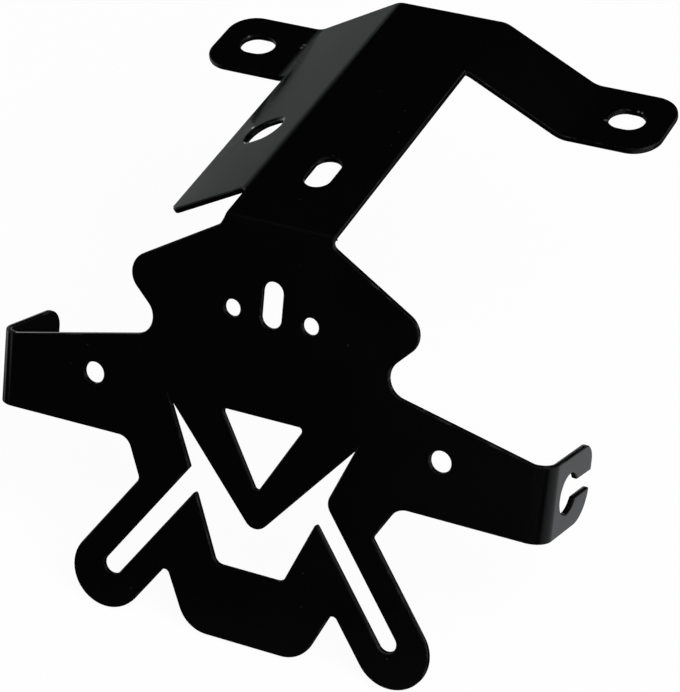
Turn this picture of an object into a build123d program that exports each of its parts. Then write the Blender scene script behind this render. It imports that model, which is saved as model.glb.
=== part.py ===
"""Motorbike tail tidy: one laser-cut steel sheet, folded into a hat-shaped spine and a number-plate face.

Millimetres. +X is the bike's right seen from behind, +Y is forward and +Z is up. The origin lies midway
between the two tab slots, on the upper face of the tabs that bolt up under the tail.
"""
import os
from math import cos, hypot, radians, sin, tan

from build123d import *

# Sheet
sheet = 2.0
bend_radius = 2.2                # inside radius of every fold

# Spine, legs and mounting tabs
spine_width = 36.2               # flat strip between the folds
spine_length = 123.3             # forward edge to the corner of the plate fold
leg_angle = 29.5                 # slope of the legs and the cable flange below level
tab_drop = 17.3                  # upper face of the tabs below the upper face of the spine
tab_length = 30.0                # along the bike
tab_corner = 9.4
tab_slot_spacing = 132.0
tab_slot_from_end = 14.6         # centre of the slot to the end of the tab
tab_slot_length = 13.0           # across the bike
tab_slot_width = 10.0
spine_slot_length = 15.2
spine_slot_width = 9.0
spine_slot_from_fold = 29.5

# Cable flange on the left of the spine
flange_short = 2.1               # its free edge stops this far up the slope from the tab fold
flange_from_fold = 15.5          # its rear edge ahead of the plate fold
flange_corner = 3.7
cable_hole_length = 15.4         # down the slope
cable_hole_width = 11.7
cable_hole_down = 16.9
cable_hole_from_fold = 53.8

# Number-plate face: distances across are from its middle, distances down are from the fold corner
plate_lean = 22.5                # from upright, foot to the rear
overall_width = 190.0            # over both ears
shoulder = (53.0, 22.3)
shoulder_radius = 6.9
waist = (34.1, 41.2)
waist_radius = 6.3
neck_flare = 1.3                 # how far each side has opened where the fold ends
neck_radius = 5.0
arm_top_at_ear = 54.9            # top edge carried out to the ear's outer face
arm_height = 23.0                # from there down to the lower edge
armpit = 47.2                    # where the arm's lower edge turns down
armpit_radius = 4.9
leg_end = (50.0, 124.2)          # centre of the rounded end
leg_slant = 36.0                 # adjusting legs, from upright
leg_width = 24.8
leg_slot_width = 7.0
leg_slot_short = 3.0             # slot end above the centre of the leg's rounded end
leg_root_drop = 11.6             # outer edge starts this far below the arms
leg_root_radius = 6.0
leg_notch_back = 18.2            # inner edge meets the bridge this far up from the rounded end
leg_notch_radius = 1.6

# Cut-outs in the face, and the bridge below them
spike = (32.2, 62.3)             # upper tips of the W-shaped cut-out
tongue_tip = 99.1                # corner of the tongue before rounding
tongue_radius = 4.3
slot_mouth_gap = 7.6             # from the tongue to where the leg slot's outer edge opens into the cut-out
slot_mouth_radius = 0.3
tooth_gap = 9.4                  # from the tongue to the tip between the leg slot and the bridge
tooth_radius = 0.7
bridge_gap = 12.7                # from the tongue's corner down to the bridge
bridge_top_half = 11.7
bridge_top_radius = 3.1
bridge_depth = 24.4
bridge_bottom_half = 20.2
bridge_bottom_radius = 11.0
window_below = 14.0              # from the triangular window's lower corner to the tongue's
window_height = 24.6
window_half = 14.3
window_radius = 1.1

# Fixing holes in the face
plate_hole = 7.0
plate_hole_spacing = 119.2
plate_hole_down = 59.9
lamp_hole = 5.5
lamp_hole_spacing = 26.6
lamp_hole_down = 28.2
lamp_slot_length = 14.8
lamp_slot_width = 7.0
lamp_slot_down = 24.5

# Ears folded forward at the ends of the arms, each with a keyhole open to its free edge
ear_length = 32.8
ear_top_radius = 6.5
ear_bottom_radius = 9.8
keyhole = 12.8
keyhole_ahead = 16.0             # ahead of the plate's rear face
keyhole_mouth = 5.7

# Places worked out from the sizes
through = 2 * overall_width      # longer than any cut needs
lap = sheet                      # how far a folded strip runs on into the flat beside it
middle_radius = bend_radius + sheet / 2
slope = radians(leg_angle)
lean = radians(plate_lean)
slant = radians(leg_slant)
front = tab_length / 2
forward_edge = Plane((0, front, 0), x_dir=(1, 0, 0), z_dir=(0, -1, 0))
tab_level = -sheet / 2
tab_end = tab_slot_spacing / 2 + tab_slot_from_end
spine_level = tab_drop - sheet / 2
ridge_x = spine_width / 2 + middle_radius * tan(slope / 2)
foot_x = ridge_x + tab_drop / tan(slope)
flange_depth = tab_drop / sin(slope) - flange_short
flange_root = (spine_width + spine_slot_width) / 4
fold_turn = radians(90 - plate_lean)
fold_y = front - spine_length
fold_corner = Vector(0, fold_y, tab_drop)
plate_down = Vector(0, -sin(lean), -cos(lean))
plate_out = Vector(0, -cos(lean), sin(lean))
plate_setback = (bend_radius + sheet) * tan(fold_turn / 2)
neck_foot = (spine_width / 2 + neck_flare, plate_setback)
ear_setback = bend_radius + sheet
arm_end = overall_width / 2 - ear_setback
arm_rise = (arm_top_at_ear - waist[1]) / (overall_width / 2 - waist[0])
arm_top = waist[1] + arm_rise * (arm_end - waist[0])
arm_bottom = arm_top_at_ear + arm_height
bridge_top = tongue_tip + bridge_gap
window_tip = tongue_tip - window_below


def folded(path, plane, width):
    """Sheet folded along path, its middle line drawn on plane, and extruded by width."""
    section = plane * trace(FilletPolyline(*path, radius=middle_radius), sheet)
    return extrude(section, width)


def mirrored(corners):
    """Corners of a right half, with their radii, carried round the left half."""
    left = [((-across, down), radius) for (across, down), radius in reversed(corners) if across > 0]
    return corners + left


def rounded_face(corners):
    """Face with each corner (point, radius) rounded by its own radius."""
    points = [point for point, _ in corners]
    radii = [radius for _, radius in corners]
    return make_face(FilletPolyline(*points, radius=radii, close=True))


def beside_leg(aside, down):
    """Point that far aside of the right leg's centre line, outward, at a distance down the face."""
    across = leg_end[0] + aside / cos(slant) + (down - leg_end[1]) * tan(slant)
    return (across, down)


def across_leg(aside, back):
    """Point beside the right leg's rounded end, aside of its centre line and back up along it."""
    across = leg_end[0] + aside * cos(slant) - back * sin(slant)
    down = leg_end[1] - aside * sin(slant) - back * cos(slant)
    return (across, down)


def off_tongue(aside, gap):
    """Point beside the right leg's centre line, aside of it, where the tongue's edge is that gap away."""
    run = spike[0]
    rise = tongue_tip - spike[1]
    clear = gap * hypot(run, rise) + run * tongue_tip
    down = (clear - rise * beside_leg(aside, 0)[0]) / (rise * tan(slant) + run)
    return beside_leg(aside, down)


def hat():
    """Forward end: spine, both legs and both tabs, as one folded strip."""
    right = [(ridge_x, spine_level), (foot_x, tab_level), (tab_end, tab_level)]
    left = [(-across, level) for across, level in reversed(right)]
    strip = folded(left + right, forward_edge, tab_length)
    strip = fillet(strip.edges().filter_by(Axis.Z), tab_corner)
    slot = extrude(SlotOverall(tab_slot_length, tab_slot_width), through, both=True)
    for side in (-1, 1):
        strip -= Pos(side * tab_slot_spacing / 2, 0, 0) * slot
    return strip


def cable_flange():
    """Left side of the spine folded down along its length, with a hole for the wiring."""
    ridge = (-ridge_x, spine_level)
    free = (-ridge_x - flange_depth * cos(slope), spine_level - flange_depth * sin(slope))
    strip = folded([(-flange_root, spine_level), ridge, free], forward_edge, spine_length - flange_from_fold)
    outward = Vector(-sin(slope), 0, cos(slope))
    corners = strip.edges().filter_by(Axis((0, 0, 0), outward)).group_by(Axis.X)[0]
    strip = fillet(corners.sort_by(Axis.Y)[0], flange_corner)
    face = Plane((-ridge_x, fold_y, spine_level), x_dir=(-cos(slope), 0, -sin(slope)), z_dir=outward)
    hole = Pos(cable_hole_down, -cable_hole_from_fold) * SlotOverall(cable_hole_length, cable_hole_width)
    return strip - extrude(face * hole, through, both=True)


def beside_neck():
    """What is cut away on the right of the spine and its fold, seen square to the middle of the fold."""
    opening = (shoulder[0] - neck_foot[0]) / (shoulder[1] - neck_foot[1])
    fold_end = (bend_radius + sheet) * sin(fold_turn / 2)
    neck_end = fold_end - neck_flare / opening * cos(fold_turn / 2)
    shoulder_end = fold_end + (shoulder[1] - neck_foot[1]) * cos(fold_turn / 2)
    shape = rounded_face([
        ((spine_width / 2, -through), 0),
        ((spine_width / 2, neck_end), neck_radius),
        ((shoulder[0], shoulder_end), 0),
        ((through, shoulder_end), 0),
        ((through, -through), 0),
    ])
    outward = plate_out + Vector(0, 0, 1)
    square_on = Plane(fold_corner, x_dir=(-1, 0, 0), z_dir=outward)
    return extrude(square_on * shape, through, both=True)


def spine():
    """Flat spine and the fold that carries the plate face."""
    corner_y = fold_y + sheet / 2 * tan(fold_turn / 2)
    half = spine_width / 2 + neck_radius
    down = plate_setback + neck_radius
    foot = (corner_y - down * sin(lean), spine_level - down * cos(lean))
    side = Plane((-half, 0, 0), x_dir=(0, 1, 0), z_dir=(1, 0, 0))
    strip = folded([(front, spine_level), (corner_y, spine_level), foot], side, 2 * half)
    beside = beside_neck()
    strip -= beside
    strip -= mirror(beside, about=Plane.YZ)
    slot = Rot(0, 0, 90) * SlotOverall(spine_slot_length, spine_slot_width)
    slot = Pos(0, fold_y + spine_slot_from_fold) * slot
    return strip - extrude(slot, through, both=True)


def face_outline():
    """Outer shape of the plate face, out to where the ears start to fold."""
    half = leg_width / 2
    corners = [
        (neck_foot, 0),
        (shoulder, shoulder_radius),
        (waist, waist_radius),
        ((arm_end, arm_top), 0),
        ((arm_end, arm_bottom), 0),
        ((armpit, arm_bottom), armpit_radius),
        (beside_leg(half, arm_bottom + leg_root_drop), leg_root_radius),
        (across_leg(half, 0), 0),
        (across_leg(-half, 0), 0),
        (across_leg(-half, leg_notch_back), leg_notch_radius),
        ((bridge_bottom_half, bridge_top + bridge_depth), bridge_bottom_radius),
    ]
    outline = rounded_face(mirrored(corners))
    for side in (-1, 1):
        outline += Pos(side * leg_end[0], leg_end[1]) * Circle(half)
    return outline


def w_cutout():
    """W-shaped opening round the tongue, with the two leg slots that open into it."""
    half = leg_slot_width / 2
    corners = [
        ((0, tongue_tip), tongue_radius),
        (spike, 0),
        (off_tongue(half, slot_mouth_gap), slot_mouth_radius),
        (across_leg(half, leg_slot_short), 0),
        (across_leg(-half, leg_slot_short), 0),
        (off_tongue(-half, tooth_gap), tooth_radius),
        ((bridge_top_half, bridge_top), bridge_top_radius),
    ]
    opening = rounded_face(mirrored(corners))
    slot_end = across_leg(0, leg_slot_short)
    for side in (-1, 1):
        opening += Pos(side * slot_end[0], slot_end[1]) * Circle(half)
    return opening


def plate_face():
    """Number-plate face with its arms, legs, bridge, cut-outs and fixing holes."""
    window_corner = (window_half, window_tip - window_height)
    window = rounded_face(mirrored([((0, window_tip), window_radius), (window_corner, window_radius)]))
    shape = face_outline() - w_cutout() - window
    shape -= Pos(0, lamp_slot_down) * Rot(0, 0, 90) * SlotOverall(lamp_slot_length, lamp_slot_width)
    for side in (-1, 1):
        shape -= Pos(side * plate_hole_spacing / 2, plate_hole_down) * Circle(plate_hole / 2)
        shape -= Pos(side * lamp_hole_spacing / 2, lamp_hole_down) * Circle(lamp_hole / 2)
    rear = Plane(fold_corner, x_dir=(-1, 0, 0), z_dir=plate_out)
    return extrude(rear * shape, -sheet)


def ear():
    """Right ear: the fold at the arm's end and the keyholed flange ahead of it."""
    middle = overall_width / 2 - sheet / 2
    path = [(arm_end - lap, -sheet / 2), (middle, -sheet / 2), (middle, -ear_setback - lap)]
    section = Plane(fold_corner + plate_down * arm_top, x_dir=(1, 0, 0), z_dir=plate_down)
    bend = folded(path, section, arm_bottom - arm_top)
    shape = rounded_face([
        ((ear_setback, arm_top), 0),
        ((ear_length, arm_top), ear_top_radius),
        ((ear_length, arm_bottom), ear_bottom_radius),
        ((ear_setback, arm_bottom), 0),
    ])
    keyhole_down = (arm_top + arm_bottom) / 2
    shape -= Pos(keyhole_ahead, keyhole_down) * Circle(keyhole / 2)
    mouth_length = ear_length - keyhole_ahead
    mouth_middle = keyhole_ahead + mouth_length / 2
    shape -= Pos(mouth_middle, keyhole_down) * Rectangle(mouth_length, keyhole_mouth)
    outer = Plane(fold_corner + Vector(overall_width / 2, 0, 0), x_dir=-plate_out, z_dir=(-1, 0, 0))
    return bend + extrude(outer * shape, sheet)


def tail_tidy():
    """Whole bracket, as one solid."""
    right_ear = ear()
    bracket = hat() + cable_flange()
    bracket += spine()
    bracket += plate_face()
    bracket += right_ear
    bracket += mirror(right_ear, about=Plane.YZ)
    return bracket


os.makedirs("parts", exist_ok=True)
bracket = tail_tidy()
export_step(bracket, "parts/tail_tidy_bracket.step")
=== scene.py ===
"""Tail tidy: a folded steel sheet with a satin black powder coat, on a white studio floor."""

from math import atan2, ceil, cos, hypot, pi, radians, sin, tan

import bpy
from bpy.props import FloatProperty, FloatVectorProperty, IntProperty, PointerProperty
from mathutils import Matrix, Vector


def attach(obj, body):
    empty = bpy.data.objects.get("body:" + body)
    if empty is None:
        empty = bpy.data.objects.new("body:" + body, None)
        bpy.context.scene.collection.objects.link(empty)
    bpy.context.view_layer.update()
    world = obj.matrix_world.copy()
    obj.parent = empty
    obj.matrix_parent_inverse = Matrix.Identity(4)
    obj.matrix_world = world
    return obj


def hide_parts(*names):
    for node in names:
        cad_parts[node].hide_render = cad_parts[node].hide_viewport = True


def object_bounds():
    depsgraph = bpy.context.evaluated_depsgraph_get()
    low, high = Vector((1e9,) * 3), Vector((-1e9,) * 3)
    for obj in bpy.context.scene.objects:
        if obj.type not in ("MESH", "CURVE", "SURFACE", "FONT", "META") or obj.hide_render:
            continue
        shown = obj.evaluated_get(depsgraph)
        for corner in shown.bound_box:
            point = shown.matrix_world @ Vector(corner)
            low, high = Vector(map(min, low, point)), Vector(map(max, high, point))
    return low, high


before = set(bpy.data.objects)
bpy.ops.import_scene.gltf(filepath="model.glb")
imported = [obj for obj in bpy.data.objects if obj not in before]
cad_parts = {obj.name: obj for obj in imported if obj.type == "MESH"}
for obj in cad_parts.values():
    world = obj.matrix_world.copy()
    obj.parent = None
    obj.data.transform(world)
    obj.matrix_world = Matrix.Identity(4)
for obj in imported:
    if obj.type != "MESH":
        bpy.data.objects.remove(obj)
cad_low, cad_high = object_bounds()

bl_info = {
    "name": "Tail tidy",
    "version": (1, 0, 0),
    "blender": (4, 5, 0),
    "location": "3D View > Sidebar > Tail tidy",
    "description": "Makes a folded and powder coated tail tidy and the studio it is shown in",
    "category": "Object",
}

BRACKET = "tail_tidy_bracket"
SHEET = "folded_sheet"
EDGE_MARK = "edge_wear"


# Sizes and colours that a user may change


def length(name, text, default, least=0.0):
    """A length in metres that a user may change."""
    return FloatProperty(name=name, description=text, default=default, min=least, precision=5, unit="LENGTH")


def corner(name, text, default):
    """A corner of the plate face: across from its middle and down from its fold, in metres."""
    return FloatVectorProperty(
        name=name, description=text, default=default, size=2, precision=5, unit="LENGTH")


def slope_angle(name, text, degrees):
    """An angle that a user may change."""
    return FloatProperty(
        name=name, description=text, default=radians(degrees), subtype="ANGLE", unit="ROTATION")


def tint(name, text, default):
    """A colour that a user may change."""
    return FloatVectorProperty(
        name=name, description=text, default=default, subtype="COLOR", min=0.0, max=1.0)


class SheetSizes(bpy.types.PropertyGroup):
    """The steel sheet, its folds and its cut edges."""

    thickness: length("Sheet", "Thickness of the steel sheet", 0.0020)
    bend_radius: length("Bend radius", "Inside radius of the plate fold", 0.0022)
    edge_round: length("Edge rounding", "Radius that the coat leaves on the cut edges", 0.00050)
    edge_steps: IntProperty(
        name="Edge steps", description="Faces across each rounded edge", default=3, min=1, max=6)
    rim_steps: IntProperty(
        name="Rim steps", description="Faces across the rim of the cable hole", default=5, min=3, max=9)


class SpineSizes(bpy.types.PropertyGroup):
    """The spine, its legs, its tabs and the cable flange."""

    width: length("Spine width", "Flat strip between the folds", 0.0362)
    reach: length("Spine length", "Forward edge to the corner of the plate fold", 0.1233)
    leg_angle: slope_angle("Leg slope", "Slope of the legs and the cable flange below level", 29.5)
    ridge_bend: length("Ridge bend", "Inside radius of the folds between spine and legs", 0.0050)
    foot_bend: length("Foot bend", "Inside radius of the folds between legs and tabs", 0.0080)
    tab_drop: length("Tab drop", "Upper face of the tabs below the upper face of the spine", 0.0173)
    tab_length: length("Tab length", "Length of each tab along the bike", 0.0300)
    tab_corner: length("Tab corners", "Radius of the corners of the tabs", 0.0094)
    tab_slot_spacing: length("Tab slot spacing", "Distance between the two tab slots", 0.1324)
    tab_slot_from_end: length("Tab slot to end", "Centre of a tab slot to the end of its tab", 0.0144)
    tab_slot_length: length("Tab slot length", "Tab slot across the bike", 0.0120)
    tab_slot_width: length("Tab slot width", "Tab slot along the bike", 0.0100)
    slot_length: length("Spine slot length", "Slot along the spine", 0.0152)
    slot_width: length("Spine slot width", "Slot across the spine", 0.0085)
    slot_from_fold: length("Spine slot place", "Centre of the spine slot ahead of the plate fold", 0.0298)
    slot_aside: length("Spine slot aside", "How far the spine slot sits to the left", 0.0002)
    flange_short: length("Flange short by", "Free edge of the flange up the slope from the tab fold", 0.0021)
    flange_from_fold: length("Flange rear edge", "Rear edge of the flange ahead of the plate fold", 0.0152)
    flange_corner: length("Flange corner", "Radius of the free corner of the flange", 0.0032)
    flange_relief: length("Flange relief", "Radius of the notch between flange and neck", 0.0022)
    cable_hole_length: length("Cable hole length", "Cable hole down the slope", 0.0138)
    cable_hole_width: length("Cable hole width", "Cable hole along the bike", 0.0105)
    cable_hole_down: length("Cable hole down", "Centre of the cable hole down the slope", 0.01725)
    cable_hole_from_fold: length("Cable hole place", "Centre of the cable hole ahead of the fold", 0.05415)
    cable_hole_round: length("Cable hole rim", "Radius of the upper rim, softened for the cable", 0.0014)


class FaceSizes(bpy.types.PropertyGroup):
    """Outline of the number plate face and of its ears."""

    lean: slope_angle("Plate lean", "Lean of the plate face from upright", 22.5)
    width: length("Overall width", "Width over both ears", 0.1900)
    shoulder: corner("Shoulder", "Outer corner of the shoulder", (0.0530, 0.0223))
    shoulder_radius: length("Shoulder radius", "Rounding of the shoulder", 0.0069)
    waist: corner("Waist", "Inner corner between shoulder and arm", (0.0341, 0.0412))
    waist_radius: length("Waist radius", "Rounding of the waist", 0.0063)
    neck_flare: length("Neck flare", "How far each side has opened where the fold ends", 0.0013)
    neck_left: length("Neck left", "How much further the neck reaches on the side of the flange", 0.0006)
    neck_radius: length("Neck radius", "Rounding of the neck", 0.0034)
    arm_top_at_ear: length("Arm top", "Top edge of the arm at the outer face of the ear", 0.0549)
    arm_height: length("Arm height", "From there down to the lower edge", 0.0230)
    armpit: length("Armpit", "Where the lower edge of the right arm turns down", 0.0472)
    armpit_radius: length("Armpit radius", "Rounding of the right armpit", 0.0062)
    left_armpit: length("Left armpit", "Where the lower edge of the left arm turns down", 0.0462)
    left_armpit_radius: length("Left armpit radius", "Rounding of the left armpit", 0.0048)
    leg_end: corner("Leg end", "Centre of the rounded end of an adjusting leg", (0.0500, 0.1242))
    leg_slant: slope_angle("Leg slant", "Slant of the adjusting legs from upright", 36.0)
    leg_width: length("Leg width", "Width of an adjusting leg", 0.0248)
    leg_root_drop: length("Leg root", "Start of the right leg's outer edge below the arm", 0.0116)
    leg_root_radius: length("Leg root radius", "Rounding of the right leg root", 0.0010)
    left_root_drop: length("Left leg root", "Start of the left leg's outer edge below the arm", 0.0128)
    left_root_radius: length("Left leg root radius", "Rounding of the left leg root", 0.0021)
    leg_notch_back: length("Leg notch", "Inner leg edge to the bridge, up from the leg end", 0.0182)
    leg_notch_radius: length("Leg notch radius", "Rounding of that notch", 0.0016)
    bridge_aside: length("Bridge aside", "How far the bridge between the legs sits to the left", 0.0003)
    bridge_bottom: corner("Bridge bottom", "Lower corner of the bridge between the legs", (0.0202, 0.1362))
    bridge_bottom_radius: length("Bridge bottom radius", "Rounding of the lower corners", 0.0110)
    ear_bend: length("Ear bend", "Inside radius of the ear folds", 0.0042)
    ear_length: length("Ear length", "Free edge of an ear ahead of the plate's rear face", 0.0328)
    ear_droop: length("Ear droop", "How much lower an ear is at its free edge than at its fold", 0.0005)
    left_ear_turn: slope_angle("Left ear fold", "Angle that the left ear is folded by", 92.0)
    ear_top_radius: length("Ear top radius", "Rounding of the upper corner of an ear", 0.0065)
    ear_bottom_radius: length("Ear bottom radius", "Rounding of the lower corner of an ear", 0.0098)
    keyhole: length("Keyhole", "Diameter of the keyhole in each ear", 0.0128)
    keyhole_ahead: length("Keyhole place", "Centre of the keyhole ahead of the plate's rear face", 0.0160)
    keyhole_mouth: length("Keyhole mouth", "Width of the keyhole's open mouth", 0.0057)


class CutoutSizes(bpy.types.PropertyGroup):
    """Cut-outs, slots and holes of the number plate face."""

    spike: corner("Spike", "Upper tip of the W-shaped cut-out", (0.0322, 0.0623))
    tongue_aside: length("Tongue aside", "How far the tongue sits to the right", 0.0005)
    tongue_tip: length("Tongue tip", "Corner of the tongue before rounding", 0.0991)
    tongue_radius: length("Tongue radius", "Rounding of the tongue", 0.0043)
    mouth_gap: length("Slot mouth", "From the tongue to the outer corner of a leg slot's mouth", 0.0068)
    mouth_radius: length("Slot mouth radius", "Rounding of that corner on the right", 0.0050)
    left_mouth_radius: length("Left slot mouth radius", "Rounding of that corner on the left", 0.0004)
    tooth_gap: length("Tooth", "From the tongue to the tip between leg slot and bridge", 0.0095)
    tooth_radius: length("Tooth radius", "Rounding of that tip", 0.0007)
    leg_slot_width: length("Leg slot width", "Width of the slot down each adjusting leg", 0.0063)
    leg_slot_short: length("Leg slot end", "End of the slot above the centre of the leg end", 0.0030)
    bridge_top: corner("Bridge top", "Upper corner of the bridge", (0.0117, 0.1118))
    bridge_top_radius: length("Bridge top radius", "Rounding of the upper corners", 0.0031)
    window_tip: length("Window tip", "Lower corner of the triangular window", 0.0851)
    window_height: length("Window height", "Height of the triangular window", 0.0246)
    window_half: length("Window half width", "Half of the window's top edge", 0.0143)
    window_radius: length("Window radius", "Rounding of the window's corners", 0.0011)
    plate_hole: length("Plate hole", "Diameter of the number plate holes", 0.0070)
    plate_hole_spacing: length("Plate hole spacing", "Distance between them", 0.1192)
    plate_hole_down: length("Plate hole place", "Their distance down the face", 0.0599)
    lamp_hole: length("Lamp hole", "Diameter of the lamp holes", 0.0055)
    lamp_hole_spacing: length("Lamp hole spacing", "Distance between them", 0.0266)
    lamp_hole_down: length("Lamp hole place", "Their distance down the face", 0.0282)
    lamp_slot_length: length("Lamp slot length", "Height of the lamp slot", 0.0148)
    lamp_slot_width: length("Lamp slot width", "Width of the lamp slot", 0.0070)
    lamp_slot_down: length("Lamp slot place", "Its centre down the face", 0.0245)


class CoatLook(bpy.types.PropertyGroup):
    """Colours and texture of the powder coat."""

    coat_color: tint("Coat", "Colour of the clean powder coat", (0.0011, 0.0011, 0.0011))
    worn_color: tint("Rubbed coat", "Colour of the coat where edges are rubbed thin", (0.016, 0.0165, 0.017))
    # Painted highlights: colour of the glint spots, drawn as bright bare steel
    glint_color: tint("Bare steel", "Colour of the steel where the coat is chipped", (0.56, 0.59, 0.62))
    dust_color: tint("Dust", "Colour of the few dust specks on the coat", (0.020, 0.020, 0.019))
    gloss_loss: FloatProperty(
        name="Roughness", description="Mean roughness of the satin coat",
        default=0.085, min=0.05, max=1.0, subtype="FACTOR")
    peel_size: length("Orange peel", "Width of one ripple of the orange peel", 0.0016, 0.0002)
    peel_depth: length("Orange peel depth", "Height of the orange peel", 0.000008)
    grain_size: length("Grain", "Width of one grain of the melted powder", 0.0004, 0.0001)
    cloud_size: length("Clouds", "Width of the faint clouds in colour and gloss", 0.030, 0.001)
    dust_gap: length("Dust spacing", "Mean distance between two dust specks", 0.007, 0.001)
    rub_size: length("Rubbed patches", "Length of a rubbed patch along an edge", 0.009, 0.001)
    # Ragged edge of the painted glint spots
    glint_grain: length("Scuff grain", "Width of the ragged bits of a scuff", 0.0007, 0.0001)


class StageLook(bpy.types.PropertyGroup):
    """Floor, lamp, cards and camera of the studio."""

    floor_color: tint("Floor", "Colour of the floor", (0.88, 0.88, 0.88))
    card_color: tint("Dark cards", "Cards that keep the flat faces dark", (0.004, 0.004, 0.004))
    flange_color: tint("Flange card", "Card that the cable flange mirrors", (0.300, 0.332, 0.315))
    ear_color: tint("Ear mat", "Mat that the right ear mirrors", (0.76, 0.79, 0.81))
    # Painted shadow: a dark mat that gloss sees in place of the part's shadow on the floor
    shadow_mat_color: tint("Mat below", "Mat below the part", (0.03, 0.03, 0.03))
    side_color: tint("Side mat", "Mat that the right cut edges mirror", (0.10, 0.10, 0.10))
    fold_color: tint("Fold cards", "Cards that the plate fold and its right side mirror", (0.14, 0.14, 0.14))
    room_color: tint("Room", "Large card over the whole studio", (0.52, 0.52, 0.52))
    lamp_power: FloatProperty(
        name="Lamp", description="Power of the large soft lamp",
        default=33.0, min=0.0, subtype="POWER", unit="POWER")
    fill: FloatProperty(
        name="Fill", description="Strength of the even light from all round", default=0.37, min=0.0)
    lens: FloatProperty(
        name="Lens", description="Focal length of the camera",
        default=157.21, min=1.0, subtype="DISTANCE_CAMERA", unit="CAMERA")


# Selection and modifiers


def deselect_all():
    """Leave nothing selected, so that an operator acts on one piece only."""
    bpy.ops.object.select_all(action="DESELECT")


def finish_with(kind, **settings):
    """Add a modifier to the active object, set it and apply it."""
    bpy.ops.object.modifier_add(type=kind)
    modifier = bpy.context.object.modifiers[-1]
    for name, value in settings.items():
        setattr(modifier, name, value)
    bpy.ops.object.modifier_apply(modifier=modifier.name)


# Shader sums and nodes

SPOT_CORE = 0.3  # share of a spot's reach that it fills in full
WHITE = (1, 1, 1, 1)


class Link:
    """A shader socket that takes part in sums: each operation adds a Math node."""

    def __init__(self, paint, socket):
        self.paint = paint
        self.socket = socket

    def _math(self, operation, first, second):
        return self.paint.node("ShaderNodeMath", {"operation": operation}, {0: first, 1: second})

    def __add__(self, other):
        return self._math("ADD", self, other)

    def __radd__(self, other):
        return self._math("ADD", other, self)

    def __sub__(self, other):
        return self._math("SUBTRACT", self, other)

    def __rsub__(self, other):
        return self._math("SUBTRACT", other, self)

    def __mul__(self, other):
        return self._math("MULTIPLY", self, other)

    def __rmul__(self, other):
        return self._math("MULTIPLY", other, self)

    def most(self, other):
        return self._math("MAXIMUM", self, other)


class Paint:
    """The node tree of one material or of the world, and one way to add any node to it."""

    def __init__(self, owner):
        owner.use_nodes = True
        self.tree = owner.node_tree
        self.tree.nodes.clear()

    def node(self, kind, settings=None, inputs=None, output=0):
        """Add a node, set it up, feed its sockets and give back one of its outputs."""
        made = self.tree.nodes.new(kind)
        for name, value in (settings or {}).items():
            setattr(made, name, value)
        for name, value in (inputs or {}).items():
            if isinstance(value, Link):
                self.tree.links.new(value.socket, made.inputs[name])
            else:
                made.inputs[name].default_value = value
        return Link(self, made.outputs[output])

    def noise(self, place, size, detail=2.0, rough=0.5):
        """Cloudy pattern from 0 to 1 whose patches are about one size wide."""
        return self.node("ShaderNodeTexNoise", {}, {
            "Vector": place, "Scale": 1.0 / size, "Detail": detail, "Roughness": rough})

    def ease(self, value, start, end):
        """0 below start, 1 above end, smooth between."""
        return self.node("ShaderNodeMapRange", {"interpolation_type": "SMOOTHSTEP"}, {
            "Value": value, "From Min": start, "From Max": end})

    def near(self, place, spot, reach):
        """1 at a spot on the sheet, fading to 0 at a distance from it."""
        gap = self.node(
            "ShaderNodeVectorMath", {"operation": "DISTANCE"}, {0: place, 1: spot}, output="Value")
        return 1.0 - self.ease(gap, reach * SPOT_CORE, reach)

    def mix(self, share, first, second):
        """Colour between two colours."""
        return self.node("ShaderNodeMix", {"data_type": "RGBA"}, {0: share, 6: first, 7: second}, output=2)

    def seen(self):
        """1 for rays from the camera, a gloss or a glass, which show the plain background."""
        def ray(name):
            return self.node("ShaderNodeLightPath", output=name)
        return ray("Is Camera Ray").most(ray("Is Glossy Ray")).most(ray("Is Transmission Ray"))

    def surface(self, shader, kind="ShaderNodeOutputMaterial"):
        """Give the finished shader to the output."""
        out = self.tree.nodes.new(kind)
        self.tree.links.new(shader.socket, out.inputs["Surface"])


def solid(color):
    """Colour with full alpha, as a socket takes it."""
    return (*color, 1.0)


# The flat blank, drawn in metres: x across, y along the bike, the spine where it stays

ARC_STEP = radians(6)  # largest turn between two points of an arc
FOLD_STEP = radians(5)  # largest turn between two lines of a fold
FLAT_ANGLE = radians(0.5)  # faces that meet flatter than this become one
CUT_ANGLE = radians(40)  # edges sharper than this are cut edges
SHORTEST = 0.00018  # shortest edge of an arc
SKIN = 0.00002  # how far the sheet stays inside the frame's box
BOX_SLACK = 0.0005  # how far it may miss that box
SAME = 1e-6  # points nearer than this are one
NEAR = 1e-7  # a point nearer than this to a line is on it


def arc(middle, radius, start, turn):
    """Points round an arc that starts at one angle and turns by another."""
    steps = max(2, min(ceil(abs(turn) / ARC_STEP), int(abs(turn) * radius / SHORTEST)))
    angles = [start + turn * k / steps for k in range(steps + 1)]
    return [Vector((middle[0] + radius * cos(a), middle[1] + radius * sin(a))) for a in angles]


def rounded_corner(before, at, after, radius):
    """Points that round one corner, or the corner itself where it stays sharp."""
    at = Vector(at)
    if radius < NEAR:
        return [at]
    back = (Vector(before) - at).normalized()
    ahead = (Vector(after) - at).normalized()
    half = back.angle(ahead) / 2
    middle = at + (back + ahead).normalized() * (radius / sin(half))
    first = at + back * (radius / tan(half)) - middle
    left_turn = back.x * ahead.y - back.y * ahead.x < 0
    return arc(middle, radius, atan2(first.y, first.x), (pi - 2 * half) * (1 if left_turn else -1))


def rounded_loop(corners):
    """Closed loop of points from corners given as (point, radius)."""
    points = []
    for k, (at, radius) in enumerate(corners):
        before, after = corners[k - 1][0], corners[(k + 1) % len(corners)][0]
        for point in rounded_corner(before, at, after, radius):
            if not points or (point - points[-1]).length > SAME:
                points.append(point)
    if (points[0] - points[-1]).length < SAME:
        points.pop()
    return points


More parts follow.
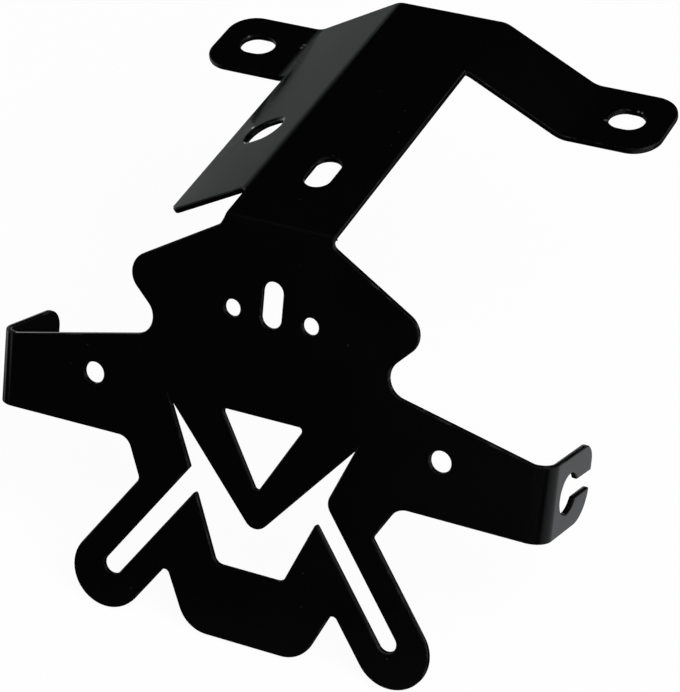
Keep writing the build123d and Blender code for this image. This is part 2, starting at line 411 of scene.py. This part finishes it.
def slot_loop(middle, long, wide, turn=0.0):
    """Closed loop of a slot with round ends, its length along x before it is turned."""
    reach = (long - wide) / 2
    ahead = Vector((reach * cos(turn), reach * sin(turn)))
    middle = Vector(middle)
    return arc(middle + ahead, wide / 2, turn - pi / 2, pi) + arc(middle - ahead, wide / 2, turn + pi / 2, pi)


def round_loop(middle, diameter):
    """Closed loop of a round hole."""
    return arc(middle, diameter / 2, 0.0, 2 * pi)[:-1]


def other_side(corners):
    """The same corners on the left, in the order that carries the loop on."""
    return [((-at[0], at[1]), radius) for at, radius in reversed(corners) if at[0] > NEAR]


class Blank:
    """Where everything lies on the flat blank, worked out from the sizes."""

    def __init__(self, scene):
        self.sheet = scene.tail_tidy_sheet
        self.spine = spine = scene.tail_tidy_spine
        self.face = face = scene.tail_tidy_face
        self.cuts = scene.tail_tidy_cuts
        middle = self.sheet.bend_radius + self.sheet.thickness / 2
        outer = self.sheet.bend_radius + self.sheet.thickness
        self.level = spine.tab_drop - self.sheet.thickness / 2 - SKIN
        self.front = spine.tab_length / 2
        self.side = spine.width / 2
        self.fold_y = self.front - spine.reach
        # Plate fold: flat places of its two ends, and of the face's zero
        turn = pi / 2 - face.lean
        self.plate_turn = turn
        start = self.fold_y + (self.sheet.thickness / 2 + middle) * tan(turn / 2)
        self.plate_fold = (start, start - middle * turn)
        self.setback = outer * tan(turn / 2)
        self.plate_zero = self.plate_fold[1] + self.setback
        # Ridge and foot folds of the legs, and the flat places beyond them
        slope = spine.leg_angle
        self.ridge = ridge = self.side + middle * tan(slope / 2)
        soft = spine.ridge_bend + self.sheet.thickness / 2
        lead = soft * tan(slope / 2)
        self.ridge_fold = (ridge - lead, ridge - lead + soft * slope)
        self.slope_zero = self.ridge_fold[1] - lead
        soft = spine.foot_bend + self.sheet.thickness / 2
        lead = soft * tan(slope / 2)
        foot = self.slope_zero + spine.tab_drop / sin(slope) - lead
        self.foot_fold = (foot, foot + soft * slope)
        foot_x = ridge + spine.tab_drop / tan(slope)
        self.tab_zero = self.foot_fold[1] - foot_x - lead
        # Ear folds
        outer = face.ear_bend + self.sheet.thickness
        self.arm_end = face.width / 2 - outer - SKIN
        self.ear_fold = (self.arm_end, self.arm_end + (outer - self.sheet.thickness / 2) * pi / 2)
        self.ear_zero = self.ear_fold[1] - outer
        rise = (face.arm_top_at_ear - face.waist[1]) / (face.width / 2 - face.waist[0])
        self.arm_top = face.waist[1] + rise * (self.arm_end - face.waist[0])
        self.arm_bottom = face.arm_top_at_ear + face.arm_height

    def plate(self, across, down):
        """Flat place of a point of the plate face."""
        return (across, self.plate_zero - down)

    def ear(self, ahead, down):
        """Flat place of a point of the right ear."""
        droop = self.face.ear_droop * ahead / self.face.ear_length
        return (self.ear_zero + ahead, self.plate_zero - down - droop)

    def beside_leg(self, aside, down):
        """Point aside of the right leg's centre line, at a distance down the face."""
        end, slant = self.face.leg_end, self.face.leg_slant
        return (end[0] + aside / cos(slant) + (down - end[1]) * tan(slant), down)

    def across_leg(self, aside, back):
        """Point by the right leg's end, aside of its centre line and back up along it."""
        end, slant = self.face.leg_end, self.face.leg_slant
        across = end[0] + aside * cos(slant) - back * sin(slant)
        return (across, end[1] - aside * sin(slant) - back * cos(slant))

    def off_tongue(self, aside, gap):
        """Point beside the right leg's centre line where the tongue's edge is that gap away."""
        run, tip = self.cuts.spike[0], self.cuts.tongue_tip
        rise = tip - self.cuts.spike[1]
        clear = gap * hypot(run, rise) + run * tip
        down = (clear - rise * self.beside_leg(aside, 0)[0]) / (rise * tan(self.face.leg_slant) + run)
        return self.beside_leg(aside, down)

    def ear_corners(self):
        """Free edge of the right ear from its top corner to its bottom corner, with the keyhole in it."""
        face = self.face
        down = (self.arm_top + self.arm_bottom) / 2
        lip = face.keyhole_mouth / 2
        bore = face.keyhole / 2
        open_angle = atan2(lip, (bore * bore - lip * lip) ** 0.5)
        hole = arc(self.ear(face.keyhole_ahead, down), bore, open_angle, 2 * pi - 2 * open_angle)
        radius = face.ear_bottom_radius
        middle = (face.ear_length - radius, self.arm_bottom - radius)
        start = -atan2(max(0.0, down + lip - middle[1]), radius)
        foot = arc(self.ear(*middle), radius, start, -pi / 2 - start)
        return [
            (self.ear(face.ear_length, self.arm_top), face.ear_top_radius),
            (self.ear(face.ear_length, down - lip), 0.0),
            *[(tuple(point), 0.0) for point in hole],
            *[(tuple(point), 0.0) for point in foot],
        ]

    def plate_corners(self, side):
        """Corners from the neck to the bridge of one side, written as if it were the right one."""
        face = self.face
        half = face.leg_width / 2
        opening = (face.shoulder[0] - self.side - face.neck_flare) / (face.shoulder[1] - self.setback)
        if side > 0:
            neck, armpit, armpit_radius = 0.0, face.armpit, face.armpit_radius
            drop, root_radius = face.leg_root_drop, face.leg_root_radius
        else:
            neck, armpit, armpit_radius = face.neck_left, face.left_armpit, face.left_armpit_radius
            drop, root_radius = face.left_root_drop, face.left_root_radius
        neck_down = self.setback - (face.neck_flare - neck) / opening
        bridge = (face.bridge_bottom[0] - side * face.bridge_aside, face.bridge_bottom[1])
        return [
            (self.plate(self.side + neck, neck_down), face.neck_radius),
            (self.plate(*face.shoulder), face.shoulder_radius),
            (self.plate(*face.waist), face.waist_radius),
            (self.plate(self.arm_end, self.arm_top), 0.0),
            *self.ear_corners(),
            (self.plate(armpit, self.arm_bottom), armpit_radius),
            (self.plate(*self.beside_leg(half, self.arm_bottom + drop)), root_radius),
            (self.plate(*self.across_leg(half, -half)), half),
            (self.plate(*self.across_leg(-half, -half)), half),
            (self.plate(*self.across_leg(-half, face.leg_notch_back)), face.leg_notch_radius),
            (self.plate(*bridge), face.bridge_bottom_radius),
        ]

    def outline(self):
        """Outer loop of the blank."""
        spine, face = self.spine, self.face
        tab = self.tab_zero + spine.tab_slot_spacing / 2 + spine.tab_slot_from_end
        tab_corners = [((tab, self.front), spine.tab_corner), ((tab, -self.front), spine.tab_corner)]
        free = -self.slope_zero - spine.tab_drop / sin(spine.leg_angle) + spine.flange_short
        rear = self.fold_y + spine.flange_from_fold
        flange = [
            ((-self.side - face.neck_left, rear), spine.flange_relief),
            ((free, rear), spine.flange_corner),
            ((free, -self.front), 0.0),
        ]
        return rounded_loop(
            tab_corners + [((self.side, -self.front), 0.0)] + self.plate_corners(1)
            + other_side(self.plate_corners(-1)) + flange + other_side(tab_corners))

    def w_cutout(self):
        """Loop of the W-shaped opening round the tongue, with the two leg slots that open into it."""
        cuts = self.cuts
        half = cuts.leg_slot_width / 2
        end = cuts.leg_slot_short - half
        mouth = Vector(self.off_tongue(half, cuts.mouth_gap))
        outer_edge = mouth - Vector(cuts.spike)

        def beside_tongue(side):
            # The spike lies where the edge of the tongue meets the outer edge of the opening
            tip = Vector((side * cuts.tongue_aside, cuts.tongue_tip))
            tongue_edge = Vector((cuts.spike[0], cuts.spike[1] - cuts.tongue_tip))
            along = (Vector(cuts.spike) - tip).cross(outer_edge) / tongue_edge.cross(outer_edge)
            return [
                (self.plate(*(tip + tongue_edge * along)), 0.0),
                (self.plate(*mouth), cuts.mouth_radius if side > 0 else cuts.left_mouth_radius),
                (self.plate(*self.across_leg(half, end)), half),
                (self.plate(*self.across_leg(-half, end)), half),
                (self.plate(*self.off_tongue(-half, cuts.tooth_gap)), cuts.tooth_radius),
                (self.plate(cuts.bridge_top[0] - side * self.face.bridge_aside, cuts.bridge_top[1]),
                 cuts.bridge_top_radius),
            ]
        tip = (self.plate(cuts.tongue_aside, cuts.tongue_tip), cuts.tongue_radius)
        return rounded_loop([tip] + beside_tongue(1) + other_side(beside_tongue(-1)))

    def openings(self):
        """Loops of every hole and slot inside the blank."""
        spine, cuts = self.spine, self.cuts
        top = cuts.window_tip - cuts.window_height
        window = [
            (self.plate(0.0, cuts.window_tip), cuts.window_radius),
            (self.plate(cuts.window_half, top), cuts.window_radius),
        ]
        lamp_slot = self.plate(0.0, cuts.lamp_slot_down)
        spine_slot = (-spine.slot_aside, self.fold_y + spine.slot_from_fold)
        cable_hole = (-self.slope_zero - spine.cable_hole_down, self.fold_y + spine.cable_hole_from_fold)
        loops = [
            self.w_cutout(),
            rounded_loop(window + other_side(window)),
            slot_loop(lamp_slot, cuts.lamp_slot_length, cuts.lamp_slot_width, pi / 2),
            slot_loop(spine_slot, spine.slot_length, spine.slot_width, pi / 2),
            slot_loop(cable_hole, spine.cable_hole_length, spine.cable_hole_width),
        ]
        for side in (-1, 1):
            tab_slot = (side * (self.tab_zero + spine.tab_slot_spacing / 2), 0.0)
            plate_hole = self.plate(side * cuts.plate_hole_spacing / 2, cuts.plate_hole_down)
            lamp_hole = self.plate(side * cuts.lamp_hole_spacing / 2, cuts.lamp_hole_down)
            loops.append(slot_loop(tab_slot, spine.tab_slot_length, spine.tab_slot_width))
            loops.append(round_loop(plate_hole, cuts.plate_hole))
            loops.append(round_loop(lamp_hole, cuts.lamp_hole))
        return loops

    def folds(self):
        """Every fold, outermost first: its axis, the flat places of its ends, its turn and its region."""
        plate_end, spine_end = self.plate_fold[1] + NEAR, self.plate_fold[0] - NEAR
        slope = self.spine.leg_angle
        found = []
        for side in (-1, 1):
            turn = pi / 2 if side > 0 else self.face.left_ear_turn
            found.append(("Y", [side * x for x in self.ear_fold], side * turn, lambda p: p.y < plate_end))
            found.append(("Y", [side * x for x in self.foot_fold], -side * slope, lambda p: p.y > spine_end))
        for side in (-1, 1):
            found.append(("Y", [side * x for x in self.ridge_fold], side * slope, lambda p: p.y > spine_end))
        found.append(("X", self.plate_fold, self.plate_turn, lambda p: True))
        return found


def fold_lines(ends, turn):
    """Flat places of the lines that divide a fold, from the side that stays to the side that turns."""
    steps = ceil(abs(turn) / FOLD_STEP)
    return [ends[0] + (ends[1] - ends[0]) * k / steps for k in range(steps + 1)]


def ring(points, level):
    """Ring of edges through points, made from a circle with as many points."""
    deselect_all()
    bpy.ops.mesh.primitive_circle_add(vertices=len(points), radius=0.01, fill_type="NOTHING")
    made = bpy.context.object
    made.data.vertices.foreach_set("co", [c for p in points for c in (p[0], p[1], level)])
    return made


def choose_nothing(kind):
    """Clear the selection of the active mesh and set what is chosen next: points, edges or faces."""
    bpy.ops.object.mode_set(mode="EDIT")
    bpy.ops.mesh.select_mode(type=kind)
    bpy.ops.mesh.select_all(action="DESELECT")
    bpy.ops.object.mode_set(mode="OBJECT")


def choose_all():
    """Select the whole active mesh, and go to edit mode."""
    bpy.ops.object.mode_set(mode="EDIT")
    bpy.ops.mesh.select_all(action="SELECT")


def choose_faces(thing, test):
    """Select the faces whose middle passes a test, and go to edit mode."""
    choose_nothing("FACE")
    for face in thing.data.polygons:
        face.select = test(face.center)
    bpy.ops.object.mode_set(mode="EDIT")


def choose_edges(thing, test):
    """Select the edges whose two ends pass a test, and go to edit mode."""
    choose_nothing("EDGE")
    points = thing.data.vertices
    for edge in thing.data.edges:
        edge.select = all(test(points[end].co) for end in edge.vertices)
    bpy.ops.object.mode_set(mode="EDIT")


def choose_points(thing, chosen):
    """Select points by their numbers, and go to edit mode."""
    choose_nothing("VERT")
    for number in chosen:
        thing.data.vertices[number].select = True
    bpy.ops.object.mode_set(mode="EDIT")


def cut_blank(blank):
    """Flat blank with its holes, filled between its loops and cut along the lines of every fold."""
    rings = [ring(points, blank.level) for points in [blank.outline(), *blank.openings()]]
    deselect_all()
    for each in rings:
        each.select_set(True)
    bpy.context.view_layer.objects.active = rings[0]
    bpy.ops.object.join()
    sheet = bpy.context.object
    choose_all()
    bpy.ops.mesh.fill(use_beauty=True)
    bpy.ops.object.mode_set(mode="OBJECT")
    for axis, ends, turn, region in reversed(blank.folds()):
        for line in fold_lines(ends, turn):
            choose_faces(sheet, region)
            at = (0.0, line, 0.0) if axis == "X" else (line, 0.0, 0.0)
            across = (0.0, 1.0, 0.0) if axis == "X" else (1.0, 0.0, 0.0)
            bpy.ops.mesh.bisect(plane_co=at, plane_no=across, threshold=SAME)
            bpy.ops.object.mode_set(mode="OBJECT")
    # Points that a fold line left almost on a corner's arc are joined to it
    choose_all()
    bpy.ops.mesh.remove_doubles(threshold=SHORTEST / 2)
    bpy.ops.object.mode_set(mode="OBJECT")
    return sheet


def fold_blank(sheet, blank):
    """Turn the blank along each fold, line by line from its outer line inwards."""
    flat = [point.co.copy() for point in sheet.data.vertices]
    for axis, ends, turn, region in blank.folds():
        lines = fold_lines(ends, turn)
        last = len(lines) - 1
        outward = 1 if ends[1] > ends[0] else -1
        places = [p.y if axis == "X" else p.x for p in flat]
        for k in range(last, -1, -1):
            line = lines[k]
            beyond = [
                n for n, place in enumerate(places) if region(flat[n]) and (place - line) * outward > NEAR]
            choose_points(sheet, beyond)
            step = turn / last * (0.5 if k in (0, last) else 1.0)
            at = (0.0, line, blank.level) if axis == "X" else (line, 0.0, blank.level)
            # Without a window this operator turns the other way
            bpy.ops.transform.rotate(value=-step, orient_axis=axis, orient_type="GLOBAL", center_override=at)
            bpy.ops.object.mode_set(mode="OBJECT")
    # Flat parts become single faces, so that the edges round evenly
    choose_all()
    bpy.ops.mesh.dissolve_limited(angle_limit=FLAT_ANGLE)
    bpy.ops.object.mode_set(mode="OBJECT")


def soften_cable_hole(sheet, blank):
    """Round the upper rim of the cable hole more than the other edges."""
    spine = blank.spine
    slope, down = spine.leg_angle, spine.cable_hole_down
    ahead = blank.fold_y + spine.cable_hole_from_fold
    middle = Vector((-blank.ridge - down * cos(slope), ahead, blank.level - down * sin(slope)))
    upward = Vector((-sin(slope), 0.0, cos(slope)))
    reach = spine.cable_hole_length / 2 + blank.sheet.thickness
    choose_edges(sheet, lambda p: (p - middle).length < reach and (p - middle).dot(upward) > 0.0)
    bpy.ops.mesh.bevel(
        offset=spine.cable_hole_round, segments=blank.sheet.rim_steps, affect="EDGES", clamp_overlap=False)
    bpy.ops.object.mode_set(mode="OBJECT")


def mark_edges(sheet):
    """Write 1 to the attribute of the worn edges inside the rounded edges and 0 elsewhere."""
    mesh = sheet.data
    flat = set()
    for face in mesh.polygons:
        if face.material_index == 0:
            flat.update(face.vertices)
    edge = mesh.attributes.new(EDGE_MARK, "FLOAT", "POINT")
    edge.data.foreach_set("value", [0.0 if v in flat else 1.0 for v in range(len(mesh.vertices))])
    mesh.polygons.foreach_set("material_index", [0] * len(mesh.polygons))


class TIDY_OT_folded_sheet(bpy.types.Operator):
    """Cut the flat blank, fold it, give it its thickness and round its cut edges"""

    bl_idname = "tail_tidy.folded_sheet"
    bl_label = "Folded sheet"
    bl_options = {"REGISTER", "UNDO"}

    def execute(self, context):
        blank = Blank(context.scene)
        sizes = context.scene.tail_tidy_sheet
        sheet = cut_blank(blank)
        fold_blank(sheet, blank)
        sheet.name = SHEET
        sheet.data.name = SHEET
        for name in ("powder_coat", "edge"):
            sheet.data.materials.append(bpy.data.materials.new(name))
        finish_with(
            "SOLIDIFY", thickness=sizes.thickness, offset=0.0, use_even_offset=True, use_quality_normals=True)
        soften_cable_hole(sheet, blank)
        finish_with(
            "BEVEL", width=sizes.edge_round, segments=sizes.edge_steps, limit_method="ANGLE",
            angle_limit=CUT_ANGLE, use_clamp_overlap=False, loop_slide=False, material=1)
        mark_edges(sheet)
        sheet.data.materials.pop()
        bpy.ops.object.shade_smooth()
        finish_with("TRIANGULATE", min_vertices=5, ngon_method="CLIP")
        finish_with("WEIGHTED_NORMAL", mode="FACE_AREA", weight=50, keep_sharp=False)
        low = [min(v.co[k] for v in sheet.data.vertices) for k in range(3)]
        high = [max(v.co[k] for v in sheet.data.vertices) for k in range(3)]
        if any(abs(a - b) > BOX_SLACK for a, b in zip(low + high, [*cad_low, *cad_high])):
            raise RuntimeError("The folded sheet doesn't fill the frame's box: %s to %s" % (low, high))
        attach(sheet, "root")
        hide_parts(BRACKET)
        return {"FINISHED"}


# Where each pattern of the coat starts and is full, from 0 to 1

CLOUDY = (0.30, 0.70)
DUSTY = (0.45, 0.60)
DUST_SPOT = (0.02, 0.05)
RUBBED = (0.50, 0.66)
RAGGED = (0.40, 0.56)

# How far each pattern goes into the coat's colour, roughness and height

LIGHT_CLOUD = 1.6
CLOUD_SHARE = 0.5
DUST_SHARE = 0.7
CLOUD_ROUGH = 0.05
GRAIN_ROUGH = 0.04
RUB_GLOSS = 0.02
MARK_ROUGH = 0.25
GRAIN_HEIGHT = 0.25
GLINT_DEPTH = 2.0
COAT_IOR = 1.25

# Painted highlights, drawn as spots of bare steel, as place and reach, with a strength for all but the first:
# a glint and a lighter smear by the cable hole, then glints on the slot rims of both tabs and on the left
# tab's fold

CABLE_GLINT = ((-0.0413, -0.0495, 0.0048), 0.0008)
GLINT_SPOTS = (
    ((-0.0425, -0.0497, 0.0042), 0.0030, 0.05),
    ((-0.0714, 0.0033, 0.0), 0.0007, 0.14),
    ((-0.0512, 0.0028, 0.0003), 0.0010, 0.13),
    ((-0.0509, 0.0044, 0.0003), 0.0012, 0.13),
    ((0.0680, 0.0051, 0.0), 0.0006, 0.20),
    ((0.0693, 0.0049, 0.0), 0.0007, 0.20),
    ((0.0601, -0.0026, 0.0), 0.0009, 0.12),
)


class TIDY_OT_powder_coat(bpy.types.Operator):
    """Coat the sheet in satin black powder, with its orange peel, dust, rubbed edges and painted glints"""

    bl_idname = "tail_tidy.powder_coat"
    bl_label = "Powder coat"
    bl_options = {"REGISTER", "UNDO"}

    def execute(self, context):
        look = context.scene.tail_tidy_coat
        paint = Paint(bpy.data.objects[SHEET].data.materials[0])
        place = paint.node("ShaderNodeTexCoord", output="Object")
        cloud = paint.noise(place, look.cloud_size, 3.0, 0.6)
        peel = paint.noise(place, look.peel_size, 1.0)
        grain = paint.noise(place, look.grain_size, 2.0, 0.6)
        edge = paint.node("ShaderNodeAttribute", {"attribute_name": EDGE_MARK}, output="Fac")
        rubbed = edge * paint.ease(paint.noise(place, look.rub_size, 4.0, 0.65), *RUBBED)
        # Dust specks, each a small spot in a cell of its own
        cell = paint.node("ShaderNodeTexVoronoi", {}, {
            "Vector": place, "Scale": 1.0 / look.dust_gap}, output="Distance")
        dust = (1.0 - paint.ease(cell, *DUST_SPOT)) * paint.ease(cloud, *DUSTY)
        # Painted highlights: glints on the tab slot rims, the left tab's fold and the cable hole, drawn as
        # bright spots of bare steel
        ragged = paint.ease(paint.noise(place, look.glint_grain, 3.0, 0.6), *RAGGED)
        glints = paint.near(place, *CABLE_GLINT)
        for spot, reach, share in GLINT_SPOTS:
            glints = glints.most(paint.near(place, spot, reach) * ragged * share)
        lighter = solid([c * LIGHT_CLOUD for c in look.coat_color])
        color = paint.mix(paint.ease(cloud, *CLOUDY) * CLOUD_SHARE, solid(look.coat_color), lighter)
        color = paint.mix(rubbed, color, solid(look.worn_color))
        color = paint.mix(dust * DUST_SHARE, color, solid(look.dust_color))
        # Painted highlights: the glint spots turn the coat bright steel
        color = paint.mix(glints, color, solid(look.glint_color))
        rough = look.gloss_loss + (cloud - 0.5) * CLOUD_ROUGH + (grain - 0.5) * GRAIN_ROUGH
        rough = rough - rubbed * RUB_GLOSS + (dust + glints) * MARK_ROUGH
        height = peel + grain * GRAIN_HEIGHT - glints * GLINT_DEPTH
        normal = paint.node("ShaderNodeBump", {}, {
            "Strength": 1.0, "Distance": look.peel_depth, "Height": height})
        paint.surface(paint.node("ShaderNodeBsdfPrincipled", {}, {
            "Base Color": color, "Roughness": rough, "Normal": normal, "IOR": COAT_IOR}))
        return {"FINISHED"}


# The studio

UP, DOWN, AHEAD, BACK = (0, 0, 1), (0, 0, -1), (0, 1, 0), (0, -1, 0)
FLOOR_GAP = 0.0004  # floor below the part
MAT_GAP = 0.0002  # upper mats below the part
MAT_LAYER = 0.00005  # step between mats that lie over each other
CEILING = 0.62  # height of the cards overhead
REAR = -0.62  # place of the cards behind the part
LAYER = 0.001  # step between cards that hang over each other

# The camera's place and axes, fitted to the photograph's view

CAMERA_PLACE = (0.38213, -0.72117, 0.54988)
CAMERA_RIGHT = (0.89023, 0.44641, -0.09062)
CAMERA_UP = (-0.21889, 0.59371, 0.77434)
CAMERA_BACK = (0.39947, -0.66950, 0.62625)
SENSOR_WIDTH = 36.0
NEAREST_SEEN = 0.05


def white_paint(name, color, background=0.95, patch=0.4, patch_share=0.1, patch_tone=0.96):
    """Pale floor paint that shows as the plain white background and keeps soft shadows."""
    made = bpy.data.materials.new(name)
    paint = Paint(made)
    place = paint.node("ShaderNodeTexCoord", output="Object")
    darker = solid([c * patch_tone for c in color])
    tone = paint.mix(paint.noise(place, patch) * patch_share, solid(color), darker)
    matt = paint.node("ShaderNodeBsdfDiffuse", {}, {"Color": tone})
    glow = paint.node("ShaderNodeEmission", {}, {"Color": WHITE, "Strength": 1.0})
    paint.surface(paint.node("ShaderNodeMixShader", {}, {0: paint.seen() * background, 1: matt, 2: glow}))
    return made


def card_paint(name, color, other=None, axis="Z", span=(0.0, 1.0), border=(0.0, 0.0)):
    """Matt paint of a card, which may fade to another colour along one axis and to nothing at its borders."""
    made = bpy.data.materials.new(name)
    paint = Paint(made)
    tone = solid(color)
    if other is not None:
        place = paint.node("ShaderNodeTexCoord", output="Object")
        along = paint.node("ShaderNodeSeparateXYZ", {}, {0: place}, output=axis)
        tone = paint.mix(paint.ease(along, *span), tone, solid(other))
    shader = paint.node("ShaderNodeBsdfDiffuse", {}, {"Color": tone})
    if max(border) > 0.0:
        across = paint.node("ShaderNodeTexCoord", output="UV")
        inside = 1.0
        for side, share in zip("XY", border):
            if share > 0.0:
                at = paint.node("ShaderNodeSeparateXYZ", {}, {0: across}, output=side)
                inside = paint.ease(at, 0.0, share) * paint.ease(1.0 - at, 0.0, share) * inside
        clear = paint.node("ShaderNodeBsdfTransparent")
        shader = paint.node("ShaderNodeMixShader", {}, {0: inside, 1: clear, 2: shader})
    paint.surface(shader)
    return made


def panel(name, size, place, facing, material):
    """Flat sheet of the studio, with its place in its mesh, that faces along a direction."""
    deselect_all()
    turn = Vector(facing).to_track_quat("Z", "Y").to_euler()
    bpy.ops.mesh.primitive_plane_add(size=1.0, location=place, rotation=turn)
    made = bpy.context.object
    made.name = name
    made.scale = (size[0], size[1], 1.0)
    bpy.ops.object.transform_apply(location=True, rotation=True, scale=True)
    made.data.materials.append(material)
    return made


def gloss_card(name, size, place, facing, *paint, border=(0.0, 0.0)):
    """Card that only gloss sees: it gives a face its tone, casts no shadow and may end in soft borders."""
    shares = [wide / whole for wide, whole in zip(border, size)]
    made = panel(name, size, place, facing, card_paint(name, *paint, border=shares))
    made.visible_camera = False
    made.visible_diffuse = False
    made.visible_shadow = False


def hang_cards(look):
    """Cards overhead, behind, ahead and to the left, which the flat faces and the plate fold mirror."""
    black, sheen = look.card_color, look.fold_color
    gloss_card("card_overhead", (2.12, 1.20), (-0.21, 0.73, CEILING), DOWN, black, border=(0.35, 0.25))
    gloss_card("card_room", (6.0, 6.0), (0.0, 0.0, CEILING + 10 * LAYER), DOWN, look.room_color)
    gloss_card("card_over_fold", (0.81, 1.40), (-0.375, -0.10, CEILING - LAYER), DOWN,
               black, border=(0.20, 0.20))
    gloss_card("card_fold_sheen", (0.60, 0.56), (-0.35, 0.06, CEILING - 2 * LAYER), DOWN,
               sheen, border=(0.15, 0.26))
    gloss_card("card_behind", (0.90, 1.18), (-0.25, REAR, 0.24), AHEAD,
               black, sheen, "X", (-0.24, 0.0), border=(0.20, 0.15))
    gloss_card("card_low_right", (1.05, 0.47), (0.325, REAR - LAYER, -0.115), AHEAD,
               sheen, border=(0.25, 0.10))
    gloss_card("card_ahead", (2.00, 0.95), (-0.20, 1.00, 0.125), BACK, black, border=(0.25, 0.25))
    gloss_card("card_far_left", (1.12, 0.80), (-1.03, 0.41, 0.29), (0.74, -0.67, 0),
               look.flange_color, black, "Z", (0.10, 0.66))


def lay_mats(look):
    """Mats on the floor, which the right ear, the cut edges and the faces that look down mirror."""
    black, pale, side = look.card_color, look.ear_color, look.side_color
    top = cad_low.z - MAT_GAP
    low = top - 3 * MAT_LAYER
    # Painted shadow: this dark mat, seen only in gloss, stands in for the part's own shadow on the floor
    # below it
    gloss_card("mat_below", (0.525, 0.42), (-0.0375, 0.05, low), UP, look.shadow_mat_color, border=(0.12, 0.0))
    gloss_card("mat_before", (1.07, 0.46), (-0.165, -0.39, low), UP,
               black, side, "X", (-0.16, 0.12), border=(0.25, 0.0))
    gloss_card("mat_corner", (0.88, 0.53), (0.56, -0.355, top), UP, black, pale, "Y", (-0.34, -0.10))
    gloss_card("mat_right", (0.25, 0.30), (0.23, 0.16, top), UP, side)
    gloss_card("mat_beside_ear", (0.34, 0.42), (0.275, -0.03, top - 2 * MAT_LAYER), UP, pale)


def soft_lamp(name, size, place, target, power):
    """Large square lamp that points at the part."""
    deselect_all()
    turn = (Vector(place) - Vector(target)).to_track_quat("Z", "Y").to_euler()
    bpy.ops.object.light_add(type="AREA", location=place, rotation=turn)
    made = bpy.context.object
    made.name = name
    made.data.shape = "SQUARE"
    made.data.size = size
    made.data.energy = power


def white_world(scene, fill):
    """World that is white where it is seen and lights the part with a weaker, even fill."""
    scene.world = bpy.data.worlds.new("studio")
    paint = Paint(scene.world)
    seen = paint.seen()
    share = seen + (1.0 - seen) * fill
    background = paint.node("ShaderNodeBackground", {}, {"Color": WHITE, "Strength": share})
    paint.surface(background, "ShaderNodeOutputWorld")


def place_camera(scene, lens):
    """Camera at the photograph's viewing angle."""
    deselect_all()
    bpy.ops.object.camera_add()
    camera = bpy.context.object
    camera.name = "camera"
    axes = Matrix((CAMERA_RIGHT, CAMERA_UP, CAMERA_BACK)).transposed().to_4x4()
    camera.matrix_world = Matrix.Translation(CAMERA_PLACE) @ axes
    camera.data.lens = lens
    camera.data.sensor_width = SENSOR_WIDTH
    camera.data.clip_start = NEAREST_SEEN
    scene.camera = camera


class TIDY_OT_stage(bpy.types.Operator):
    """Set the white floor, the soft lamp, the cards that only gloss sees and the camera"""

    bl_idname = "tail_tidy.stage"
    bl_label = "Studio"
    bl_options = {"REGISTER", "UNDO"}

    def execute(self, context):
        scene = context.scene
        look = scene.tail_tidy_stage
        scene.view_settings.view_transform = "Standard"
        panel("floor", (24.0, 24.0), (0.0, 0.0, cad_low.z - FLOOR_GAP), UP,
              white_paint("floor_white", look.floor_color))
        hang_cards(look)
        lay_mats(look)
        soft_lamp("lamp_right", size=1.2, place=(1.2, -0.7, 1.3), target=(0, -0.05, -0.03),
                  power=look.lamp_power)
        white_world(scene, look.fill)
        place_camera(scene, look.lens)
        return {"FINISHED"}


class TIDY_PT_sidebar(bpy.types.Panel):
    """Sizes, colours and steps of the tail tidy"""

    bl_idname = "TIDY_PT_sidebar"
    bl_label = "Tail tidy"
    bl_space_type = "VIEW_3D"
    bl_region_type = "UI"
    bl_category = "Tail tidy"

    def draw(self, context):
        scene = context.scene
        sheet = (scene.tail_tidy_sheet, scene.tail_tidy_spine, scene.tail_tidy_face, scene.tail_tidy_cuts)
        steps = (
            (TIDY_OT_folded_sheet, sheet),
            (TIDY_OT_powder_coat, (scene.tail_tidy_coat,)),
            (TIDY_OT_stage, (scene.tail_tidy_stage,)),
        )
        for step, groups in steps:
            box = self.layout.box()
            for group in groups:
                for name in group.bl_rna.properties.keys():
                    if name not in ("rna_type", "name"):
                        box.prop(group, name)
            box.operator(step.bl_idname)


SETTINGS = {
    "tail_tidy_sheet": SheetSizes,
    "tail_tidy_spine": SpineSizes,
    "tail_tidy_face": FaceSizes,
    "tail_tidy_cuts": CutoutSizes,
    "tail_tidy_coat": CoatLook,
    "tail_tidy_stage": StageLook,
}
STEPS = (TIDY_OT_folded_sheet, TIDY_OT_powder_coat, TIDY_OT_stage)
CLASSES = (*SETTINGS.values(), *STEPS, TIDY_PT_sidebar)


def register():
    """Add the classes and hang their settings on the scene."""
    for made in CLASSES:
        bpy.utils.register_class(made)
    for name, group in SETTINGS.items():
        setattr(bpy.types.Scene, name, PointerProperty(type=group))


def unregister():
    """Take the settings and the classes away again."""
    for name in SETTINGS:
        delattr(bpy.types.Scene, name)
    for made in reversed(CLASSES):
        bpy.utils.unregister_class(made)


def main():
    """Make the part and its studio."""
    register()
    bpy.ops.tail_tidy.folded_sheet()
    bpy.ops.tail_tidy.powder_coat()
    bpy.ops.tail_tidy.stage()


if __name__ == "__main__":
    main()
